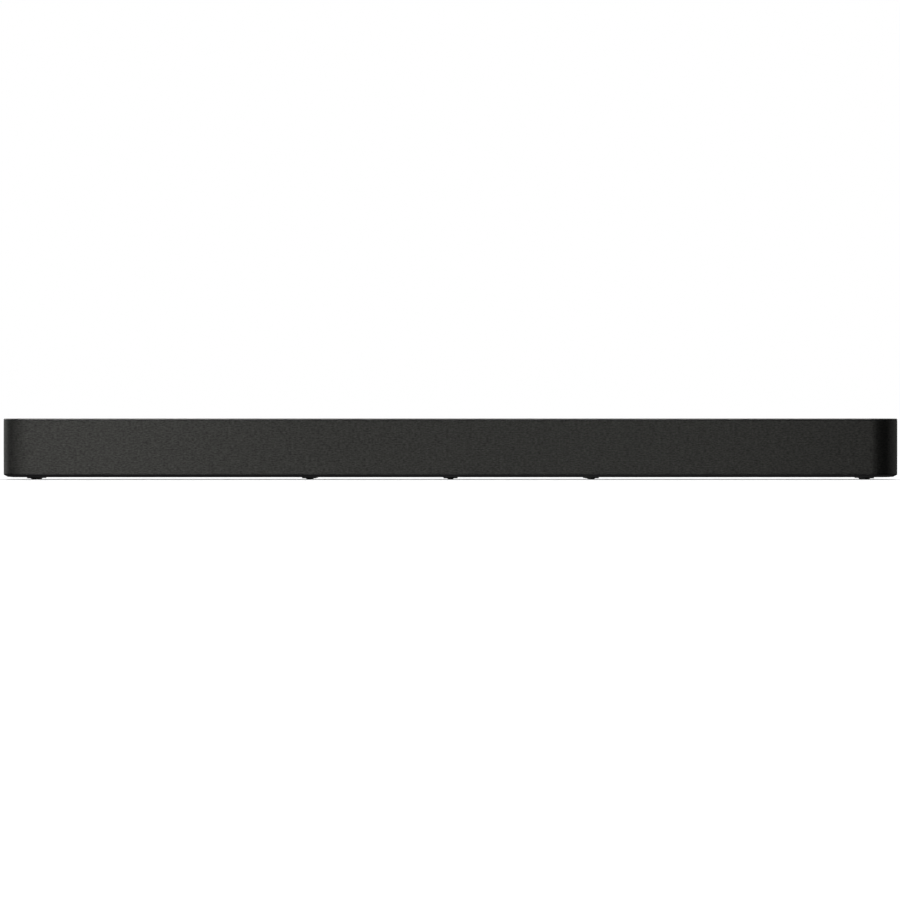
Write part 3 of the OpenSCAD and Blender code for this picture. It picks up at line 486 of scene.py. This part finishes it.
def cloth_section():
    """(inset, height) of the cloth's outer face, from the lower hem to the upper one."""
    low, high = BASE_TOP + CLOTH_GAP, LID_BOTTOM - CLOTH_GAP
    line = even((ROLL + HEM, low), (ROLL, low), 0.6)
    line += arc((ROLL, low + ROLL), ROLL, 270, 180, 6)[:-1]
    line += even((0, low + ROLL), (0, high - ROLL), 2)
    line += arc((ROLL, high - ROLL), ROLL, 180, 90, 6)
    line += even((ROLL, high), (ROLL + HEM, high), 0.6)[1:] + [(ROLL + HEM, high)]
    return line


def make_cloth():
    """One stretched sheet round the front and both ends, its four hems turned in over the frame."""
    path, section = cloth_path(), cloth_section()
    path = np.array(path)
    along = np.gradient(path, axis=0)
    along /= np.linalg.norm(along, axis=1)[:, None]
    inward = np.stack([-along[:, 1], along[:, 0]], 1)
    run = np.concatenate([[0], np.cumsum(np.linalg.norm(np.diff(path, axis=0), axis=1))])
    rise = np.concatenate([[0], np.cumsum([math.dist(a, b) for a, b in zip(section, section[1:])])])
    # The upper and lower hems taper off towards the two ends, where they would bunch
    from_end = np.minimum(run, run[-1] - run)
    clear, taper_length = HEM + ROLL + 1, 5
    taper = np.clip((from_end - clear) / taper_length, 0, 1)
    points, uvs = [], []
    section = np.array(section)
    taper_from = ROLL * 0.6
    slope = np.gradient(section, axis=0)
    slope /= np.linalg.norm(slope, axis=1)[:, None]
    into = np.stack([slope[:, 1], -slope[:, 0]], 1)  # from the outer face into the cloth
    rows = []
    for skin in (0.0, CLOTH_T):
        for i in range(len(path)):
            row = []
            for j in range(len(section)):
                inset, height = section[j] + into[j] * skin
                deep = max(0.0, section[j][0] - taper_from)
                inset -= deep * (1 - taper[i])
                x, y = path[i] + inward[i] * inset
                row.append(len(points))
                points.append((x, y, height))
                uvs.append((run[i] * MM, rise[j] * MM))
            rows.append(row)
    n, m = len(path), len(section)
    outer, inner = rows[:n], rows[n:]
    faces = []
    for i in range(n - 1):
        for j in range(m - 1):
            faces.append((outer[i][j], outer[i + 1][j], outer[i + 1][j + 1], outer[i][j + 1]))
            faces.append((inner[i][j], inner[i][j + 1], inner[i + 1][j + 1], inner[i + 1][j]))
    rim = [(i, 0) for i in range(n)] + [(n - 1, j) for j in range(1, m)]
    rim += [(i, m - 1) for i in range(n - 2, -1, -1)] + [(0, j) for j in range(m - 2, 0, -1)]
    for a, b in zip(rim, rim[1:] + rim[:1]):
        faces.append((outer[a[0]][a[1]], inner[a[0]][a[1]], inner[b[0]][b[1]], outer[b[0]][b[1]]))
    cloth = new_piece("grille_cloth_sheet", points, faces, "grille_fabric")
    layer = cloth.data.uv_layers.new(name="cloth")
    for loop in cloth.data.loops:
        layer.data[loop.index].uv = uvs[loop.vertex_index]
    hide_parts("grille_cloth")
    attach(cloth, "bar")
    return cloth


make_cloth()


def rings_to_faces(rings, columns, closed_rings):
    """Quads between neighbouring rings of points; each ring is closed on itself."""
    faces = []
    for i in range(rings if closed_rings else rings - 1):
        for k in range(columns):
            a, b = i * columns + k, i * columns + (k + 1) % columns
            c, d = (i + 1) % rings * columns + (k + 1) % columns, (i + 1) % rings * columns + k
            faces.append((a, b, c, d))
    return faces


def racetrack_line(run, turn_steps, straight_steps):
    """(centre, direction) pairs round a racetrack: a point is centre + direction * radius."""
    stops = []
    for side in (1, -1):
        for k in range(turn_steps):
            angle = math.radians(-90 + 180 * k / turn_steps) + (0 if side > 0 else math.pi)
            stops.append(((side * run / 2, 0), (math.cos(angle), math.sin(angle))))
        for k in range(straight_steps if run else 0):
            x = side * run / 2 * (1 - 2 * k / straight_steps)
            stops.append(((x, 0), (0, side)))
    return stops


def swept_round(name, driver_x, run, outline, held_r, free_r):
    """A flexible ring: outline's (radius, height) points swept round a racetrack in front of the
    baffle. It works out a share from held_r in to free_r, which nothing uses."""
    stops = racetrack_line(run, turn_steps=36, straight_steps=12)
    points, radii = [], []
    for centre, way in stops:
        for r, z in outline:
            x, y = centre[0] + way[0] * r, centre[1] + way[1] * r
            points.append((driver_x + x, BAFFLE_Y - z, DRIVER_Z + y))
            radii.append(r)
    faces = rings_to_faces(len(stops), len(outline), True)
    piece = new_piece(name, points, faces, "surround_rubber")
    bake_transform(piece)
    share = np.clip((held_r - np.array(radii)) / (held_r - free_r), 0, 1)
    share = share * share * (3 - 2 * share)
    return piece


def surround_outline():
    """Half roll of rubber between two thin flanges, its inner one glued to the cone's rim."""
    cone_edge, cone_flange, mid, gasket_flange, gasket_edge = 14.6, 15.2, 17.5, 19.8, 20.2
    lip, thick, outer_r, inner_r, steps = -0.1, 0.5, 1.75, 1.25, 28
    under = lip - thick
    outer = [(cone_edge, lip), (cone_flange, lip)]
    outer += arc((mid, lip), outer_r, 180, 0, steps) + [(gasket_flange, lip), (gasket_edge, lip)]
    roll = arc((mid, lip), inner_r, 180, 0, steps)[1:-1]
    inner = [(cone_edge, under), (cone_flange, under), (mid - inner_r, under)] + roll
    inner += [(mid + inner_r, under), (gasket_flange, under), (gasket_edge, under)]
    return outer + inner[::-1]


def spider_outline():
    """Corrugated disc that centres the voice coil."""
    start, width, steps = 8.9, 8.28, 72
    rest, ripple, pitch, thick = -13.7, 0.35, 2.76, 0.4
    wave = []
    for k in range(steps + 1):
        r = width * k / steps
        wave.append((start + r, rest + ripple * (1 - math.cos(2 * math.pi * r / pitch))))
    return [(r, z + thick) for r, z in wave] + wave[::-1]


# The last two numbers, held_r and free_r, only set a share that swept_round doesn't use
for side, x in DRIVER_X.items():
    roll = swept_round(side + "_surround", x, TRACK, surround_outline(), 19.2, 15.8)
    disc = swept_round(side + "_spider", x, 0, spider_outline(), 15.4, 9.2)
    disc.data.materials[0] = spider_look.material
    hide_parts(side + "_suspension")
    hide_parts(side + "_suspension")


def cut_corners(route, times=3):
    """The route with its corners cut again and again, so that it is smooth inside its bends."""
    for _ in range(times):
        cut = []
        for a, b in zip(route, route[1:]):
            cut.append(tuple(0.75 * p + 0.25 * q for p, q in zip(a, b)))
            cut.append(tuple(0.25 * p + 0.75 * q for p, q in zip(a, b)))
        route = [route[0]] + cut[1:-1] + [route[-1]]
    return route


def lead(route, radius, offset=0.0, pitch=14.0, phase=0.0, sides=10, step=2.0):
    """(points, faces) of one insulated lead that winds round a route."""
    knots = np.array(cut_corners(route))
    far = np.concatenate([[0], np.cumsum(np.linalg.norm(np.diff(knots, axis=0), axis=1))])
    run = np.linspace(0, far[-1], max(2, int(far[-1] / step)))
    line = np.stack([np.interp(run, far, knots[:, axis]) for axis in range(3)], 1)
    ahead = np.gradient(line, axis=0)
    ahead /= np.linalg.norm(ahead, axis=1)[:, None]
    not_along_any_route = (0.37, 0.21, -0.9)
    side = np.cross(ahead[0], not_along_any_route)
    points = []
    for centre, way, s in zip(line, ahead, run):
        side = side - way * (side @ way)
        side /= np.linalg.norm(side)
        up = np.cross(way, side)
        turn = phase + 2 * math.pi * s / pitch
        middle = centre + offset * (math.cos(turn) * side + math.sin(turn) * up)
        for k in range(sides):
            a = 2 * math.pi * k / sides
            points.append(tuple(middle + radius * (math.cos(a) * side + math.sin(a) * up)))
    faces = rings_to_faces(len(run), sides, False)
    last = (len(run) - 1) * sides
    faces.append(tuple(reversed(range(sides))))
    faces.append(tuple(last + k for k in range(sides)))
    return points, faces


def make_leads(name, leads, colours):
    """One piece of several leads, each with the colour of its number."""
    points, faces, numbers = [], [], []
    for (own_points, own_faces), colour in leads:
        first = len(points)
        points += own_points
        faces += [tuple(first + i for i in face) for face in own_faces]
        numbers += [colour] * len(own_faces)
    piece = new_piece(name, points, faces, "wire_sleeve")
    piece.data.materials.clear()
    for colour in colours:
        piece.data.materials.append(sleeve("wire_sleeve_" + colour[0], colour[1]).material)
    piece.data.polygons.foreach_set("material_index", numbers)
    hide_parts("wires")
    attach(piece, "bar")


# The routes run from a plug on the main board, through the holes of the speaker boxes, to a basket
PLUG_TOP, BOX_HOLE_Z, FLOOR_Z, BASKET_BACK = 32.6, 14.2, 9.6, -39.5


def sub_end(side):
    """From the floor of the bar to the bass speaker on one side, -1 left and 1 right."""
    return [(side * 190, 43, FLOOR_Z), (side * 198, 40, 12), (side * 200, 34, BOX_HOLE_Z),
            (side * 200, 20, BOX_HOLE_Z), (side * 200, -10, BOX_HOLE_Z), (side * 202, -28, 21),
            (side * 203, -36, 28), (side * 203, BASKET_BACK, 28)]


def outer_end(side):
    """From the floor of the bar to the outermost speaker on one side."""
    return [(side * 396, 49, FLOOR_Z), (side * 406, 45, 11), (side * 410, 36, BOX_HOLE_Z),
            (side * 410, 20, BOX_HOLE_Z), (side * 412, -10, BOX_HOLE_Z), (side * 418, -28, 21),
            (side * 420, -36, 28), (side * 420, BASKET_BACK, 28)]


speaker_routes = [
    [(16, 8, PLUG_TOP), (16, 8, 35), (16, 3, 37), (17, -3, 35), (19, -6, 24), (20, -6, 16),
     (20, -9, BOX_HOLE_Z), (22, -20, BOX_HOLE_Z), (30, -30, 21), (32, -36, 28),
     (32, BASKET_BACK, 28)],
    [(138, 12, PLUG_TOP), (138, 12, 35), (144, 17, 35), (147, 26, 24), (150, 38, 13),
     (160, 43, FLOOR_Z)] + sub_end(1),
    [(138, 18, PLUG_TOP), (138, 18, 35), (144, 24, 35), (147, 34, 24), (150, 40, 16),
     (160, 49, FLOOR_Z)] + outer_end(1),
    [(16, 13, PLUG_TOP), (16, 13, 37), (8, 30, 40), (-2, 42, 30), (-14, 43, 14),
     (-30, 43, FLOOR_Z)] + sub_end(-1),
    [(16, 18, PLUG_TOP), (16, 18, 39), (9, 36, 44), (0, 48, 32), (-14, 49, 14),
     (-30, 49, FLOOR_Z)] + outer_end(-1),
]
mains_routes = [[(x, 42, 36), (x, 39, 36), (x, 35, 34), (x, 33, 31), (x, 33, 27.6)]
                for x in (-104, -96)]
speaker_pairs = [(lead(route, 0.52, offset=0.54, phase=turn), number)
                 for route in speaker_routes for number, turn in enumerate((0, math.pi))]
mains_pair = [(lead(route, 1.05, step=1.0), number) for number, route in enumerate(mains_routes)]
make_leads("speaker_leads", speaker_pairs,
           [("red", (0.3, 0.016, 0.012)), ("black", (0.012, 0.012, 0.013))])
make_leads("mains_leads", mains_pair,
           [("brown", (0.075, 0.028, 0.012)), ("blue", (0.012, 0.05, 0.22))])


# ---- camera ----

camera_data = bpy.data.cameras.new("camera")
camera_data.lens = 263.8
camera_data.sensor_width = 36
camera_data.clip_start = 0.1
camera_data.clip_end = 60
camera = bpy.data.objects.new("camera", camera_data)
scene.collection.objects.link(camera)
camera.location = (-0.0005, -7.046, 0.0313)
camera.rotation_euler = (math.pi / 2, 0, 0)
scene.camera = camera


# ---- floor, background and light ----

def make_floor():
    """A plain pale floor, which is clear from below."""
    mesh = bpy.data.meshes.new("floor")
    half = 25
    corners = [(-half, -half, 0), (half, -half, 0), (half, half, 0), (-half, half, 0)]
    mesh.from_pydata(corners, [], [(0, 1, 2, 3)])
    floor = bpy.data.objects.new("floor", mesh)
    scene.collection.objects.link(floor)
    g = Graph("floor_pale")
    g.skin.inputs["Base Color"].default_value = (0.86, 0.86, 0.86, 1)
    g.skin.inputs["Roughness"].default_value = 1.0
    g.skin.inputs["Specular IOR Level"].default_value = 0.0
    clear = g.add("ShaderNodeBsdfTransparent")
    side_mix = g.add("ShaderNodeMixShader")
    g.join(g.add("ShaderNodeNewGeometry").outputs["Backfacing"], side_mix.inputs[0])
    g.join(g.skin.outputs[0], side_mix.inputs[1])
    g.join(clear.outputs[0], side_mix.inputs[2])
    out = next(n for n in g.tree.nodes if n.type == "OUTPUT_MATERIAL")
    g.join(side_mix.outputs[0], out.inputs["Surface"])
    mesh.materials.append(g.material)
    floor.visible_diffuse = False
    floor.visible_glossy = False
    floor.visible_shadow = False
    return floor


floor = make_floor()
only_floor = bpy.data.collections.new("lit_floor")
only_floor.objects.link(floor)


def receivers_without(name, *left_out):
    """A receiver list for a lamp: everything but these objects."""
    group = bpy.data.collections.new(name)
    for obj in left_out:
        group.objects.link(obj)
    for entry in group.collection_objects:
        entry.light_linking.link_state = "EXCLUDE"
    return group


LID_NAMES = ("top_cover", "power_key", "source_key", "pairing_key", "volume_down_key",
             "volume_up_key")
lid_parts = [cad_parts[name] for name in LID_NAMES]
only_lid = bpy.data.collections.new("lit_lid")
for part in lid_parts:
    only_lid.objects.link(part)
no_floor = receivers_without("lit_object", floor)
no_lid = receivers_without("lit_walls", floor, *lid_parts)


def make_world():
    """White where the camera sees it, and a faint even light on everything."""
    world = bpy.data.worlds.new("studio")
    scene.world = world
    world.use_nodes = True
    tree = world.node_tree
    tree.nodes.clear()
    seen = tree.nodes.new("ShaderNodeLightPath")
    either = tree.nodes.new("ShaderNodeMixShader")
    out = tree.nodes.new("ShaderNodeOutputWorld")
    tree.links.new(seen.outputs["Is Camera Ray"], either.inputs[0])
    for socket, strength in ((either.inputs[1], 0.03), (either.inputs[2], 1.0)):
        light = tree.nodes.new("ShaderNodeBackground")
        light.inputs["Color"].default_value = (1, 1, 1, 1)
        light.inputs["Strength"].default_value = strength
        tree.links.new(light.outputs[0], socket)
    tree.links.new(either.outputs[0], out.inputs["Surface"])


make_world()


def add_lamp(name, kind, place, aim, power, size=(1, 1), spread=180.0):
    """A lamp that the camera doesn't see, turned towards aim."""
    data = bpy.data.lights.new(name, kind)
    data.energy = power
    if kind == "AREA":
        data.shape = "RECTANGLE"
        data.size, data.size_y = size
        data.spread = math.radians(spread)
    lamp = bpy.data.objects.new(name, data)
    scene.collection.objects.link(lamp)
    lamp.location = place
    lamp.rotation_mode = "QUATERNION"
    lamp.rotation_quaternion = (Vector(aim) - Vector(place)).to_track_quat("-Z", "Y")
    lamp.visible_camera = False
    return lamp


def add_floor_sun(name, place, strength, angle):
    """Light that only the floor receives, so that its shadow stays soft and its tone pale."""
    sun = add_lamp(name, "SUN", place, (0, 0, 0), strength)
    sun.data.angle = math.radians(angle)
    sun.light_linking.receiver_collection = only_floor


add_floor_sun("floor_sky", (0, 0, 4), 3.3, 120)
add_floor_sun("floor_glow", (0, 3.86, 1.04), 2.2, 30)

# The top is flat and faces the big lamps, so that it gets its own, weaker ones of each
# (name, place, aim, watts, size, spread in degrees, seen in reflections, receivers)
LEFT_END, RIGHT_END = (-0.455, -0.045, 0.032), (0.455, -0.045, 0.032)
LEFT_FRONT, RIGHT_FRONT, FRONT = (-0.45, -0.06, 0.03), (0.45, -0.06, 0.03), (0, -0.06, 0.03)
LAMPS = [
    ("across_left", (0.1, -0.864, 0.8), LEFT_FRONT, 1.546, (0.15, 0.3), 60, False, no_floor),
    ("across_left_low", (0.1, -0.864, -0.3), LEFT_FRONT, 0.691, (0.15, 0.3), 60, False, no_floor),
    ("across_right", (-0.5, -0.564, 0.8), RIGHT_FRONT, 0.681, (0.15, 0.3), 60, False, no_floor),
    ("right_glance", (-0.398, -0.274, 0.502), RIGHT_END, 0.529, (0.2, 0.3), 40, False, no_floor),
    ("right_glance_low", (-0.398, -0.274, -0.3), RIGHT_END, 0.563, (0.2, 0.3), 40, False, no_floor),
    ("left_sheen", (-0.684, -0.898, 0.502), LEFT_END, 0.126, (0.2, 0.3), 40, True, no_floor),
    ("left_rim", (-1.147, 0.647, 0.24), LEFT_END, 1.75, (0.2, 0.3), 40, False, no_floor),
    ("right_rim", (1.675, 0.8, 0.3), (0.475, 0, 0.03), 16.85, (0.2, 0.4), 180, False, no_floor),
    ("front_fill", (1.685, -1.414, 0.9), FRONT, 2.293, (0.5, 0.5), 180, False, no_floor),
    ("overhead", (0, 0, 1.5), (0, 0, 0.06), 20.0, (1.6, 0.6), 180, True, no_lid),
    ("overhead_lid", (0, 0, 1.5), (0, 0, 0.06), 10.0, (1.6, 0.6), 180, True, only_lid),
    ("behind", (0, 1.6, 0.75), (0, 0.06, 0.03), 30.0, (1.8, 0.7), 180, True, no_lid),
    ("behind_lid", (0, 1.6, 0.75), (0, 0.06, 0.03), 10.0, (1.8, 0.7), 180, True, only_lid),
    ("behind_low", (0, 1.3, -0.9), (0, 0.06, 0.03), 0.5, (1.8, 0.7), 180, True, no_floor),
]
for name, place, aim, power, size, spread, glossy, receivers in LAMPS:
    lamp = add_lamp(name, "AREA", place, aim, power, size, spread)
    lamp.visible_glossy = glossy
    lamp.light_linking.receiver_collection = receivers

scene.view_settings.view_transform = "Standard"
scene.view_settings.look = "None"
scene.view_settings.exposure = 0
scene.view_settings.gamma = 1
